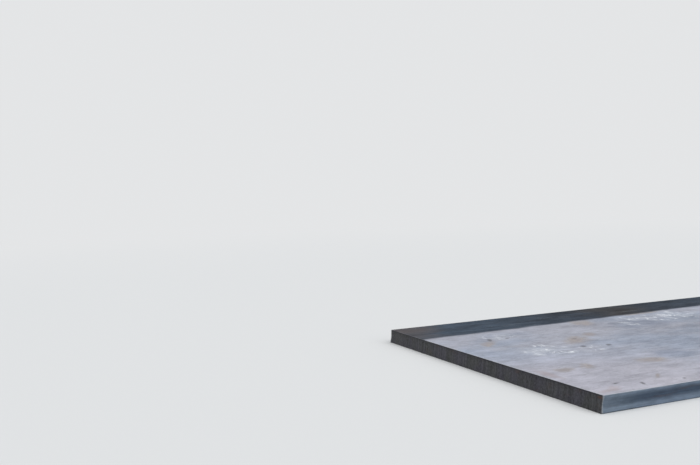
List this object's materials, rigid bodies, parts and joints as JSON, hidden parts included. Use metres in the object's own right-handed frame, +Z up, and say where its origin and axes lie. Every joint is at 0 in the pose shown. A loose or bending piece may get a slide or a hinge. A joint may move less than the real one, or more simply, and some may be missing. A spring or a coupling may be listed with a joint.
{
  "type": "steel plate",
  "caption": "Thick rectangular hot-rolled steel plate lying flat, with hollow rolled mill edges along the long sides and flame-cut ends.",
  "frame": {"origin": "centre of the underside, where the plate rests on the floor", "axes": "+X along the plate's length, which is its rolling direction; +Y across it; +Z up through its thickness"},
  "size_m": [1.9994, 1, 0.04],
  "materials": {
    "mill_scale_steel": "hot-rolled mill scale, dull blue-grey with dust, scuffs and faint rust"
  },
  "bodies": {
    "root": {"steel_plate": "mill_scale_steel"}
  },
  "joints": []
}
